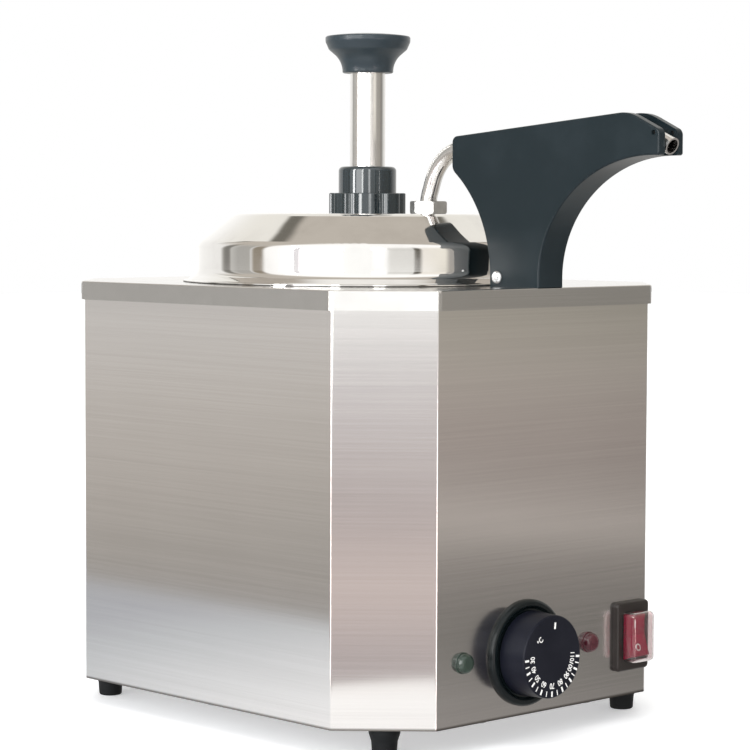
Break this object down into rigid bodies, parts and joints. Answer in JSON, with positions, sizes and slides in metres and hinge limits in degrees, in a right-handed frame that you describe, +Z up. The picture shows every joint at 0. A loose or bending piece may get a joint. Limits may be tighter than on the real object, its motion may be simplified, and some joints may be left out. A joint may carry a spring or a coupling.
{
  "type": "hot fudge topping warmer",
  "caption": "Countertop hot fudge warmer: steel water-bath casing, polished lid with a hand pump, heated spout, dial thermostat, pilot lamps and rocker switch.",
  "frame": {"origin": "middle of the bounding box in X and Y, on the surface that the feet stand on", "axes": "+Z up; the controls and the spout face -Y; +X to the right as seen from the front"},
  "size_m": [0.254, 0.4032, 0.395],
  "materials": {
    "casing_steel": "brushed stainless steel",
    "polished_steel": "mirror-polished stainless steel",
    "plain_steel": "plain stainless sheet",
    "black_moulding": "satin black moulding",
    "black_gloss": "glossy black moulding",
    "black_rubber": "black rubber",
    "green_lens": "green translucent lens",
    "red_lens": "red translucent lens",
    "red_rocker": "red translucent rocker",
    "clear_cover": "clear flexible cover",
    "aluminium": "plain aluminium",
    "zinc_steel": "zinc-plated steel",
    "brass": "plain brass",
    "ivory_plastic": "pale heat-proof moulding",
    "copper_tube": "copper",
    "white_plastic": "white moulding"
  },
  "bodies": {
    "base": {"casing_wrap": "casing_steel", "top_plate": "casing_steel", "base_plate": "plain_steel", "base_screws": "zinc_steel", "foot_screws": "zinc_steel", "water_well": "plain_steel", "food_jar": "plain_steel", "heater_ring": "plain_steel", "heater_strap": "plain_steel", "heater_stud": "zinc_steel", "safety_cutout": "ivory_plastic", "thermostat_body": "ivory_plastic", "thermostat_screws": "zinc_steel", "thermostat_bezel": "black_gloss", "thermostat_bulb": "copper_tube", "bulb_clips": "plain_steel", "switch_body": "black_moulding", "switch_cover": "clear_cover", "terminal_block": "ivory_plastic", "earth_stud": "brass", "cable_gland": "black_moulding", "gland_nut": "black_moulding", "gland_lock_nut": "black_moulding", "spout_housing": "black_moulding", "spout_bracket": "plain_steel", "bracket_screws": "zinc_steel", "housing_screws": "polished_steel", "lead_grommet": "black_rubber", "spout_heat_bar": "aluminium", "spout_heater": "plain_steel", "green_lamp_lens": "green_lens", "green_lamp_body": "black_moulding", "red_lamp_lens": "red_lens", "red_lamp_body": "black_moulding", "foot_front_left": "black_rubber", "foot_front_right": "black_rubber", "foot_rear_left": "black_rubber", "foot_rear_right": "black_rubber"},
    "lid_and_pump": {"lid": "polished_steel", "lock_nut": "black_gloss", "pump_cap": "black_gloss", "pump_cylinder": "polished_steel", "foot_valve": "plain_steel", "cage_pin": "plain_steel", "inlet_ball": "polished_steel", "outlet_ball": "polished_steel", "discharge_tube": "polished_steel", "tube_sleeve": "plain_steel", "tube_nut": "polished_steel", "pump_spring": "plain_steel"},
    "plunger": {"plunger_tube": "polished_steel", "pump_knob": "black_moulding", "piston": "white_plastic", "piston_seals": "black_rubber"},
    "knob": {"thermostat_knob": "black_moulding", "thermostat_shaft": "zinc_steel"},
    "rocker": {"switch_rocker": "red_rocker"}
  },
  "joints": [
    {"name": "lid_lift", "type": "slide", "parent": "base", "child": "lid_and_pump", "axis": [0, 0.4384, 0.8988], "range_m": [0, 0.163]},
    {"name": "pump_stroke", "type": "slide", "parent": "lid_and_pump", "child": "plunger", "axis": [0, 0, -1], "range_m": [0, 0.045], "stiffness_N_per_m": 400, "springref_m": -0.02, "deforming": ["pump_spring"]},
    {"name": "knob_turn", "type": "hinge", "parent": "base", "child": "knob", "pos_m": [-0.0157, -0.11237, 0.0495], "axis": [0, 1, 0], "range_deg": [0, 270]},
    {"name": "rocker_tilt", "type": "hinge", "parent": "base", "child": "rocker", "pos_m": [0.071, -0.11357, 0.0495], "axis": [1, 0, 0], "range_deg": [0, 18]}
  ]
}
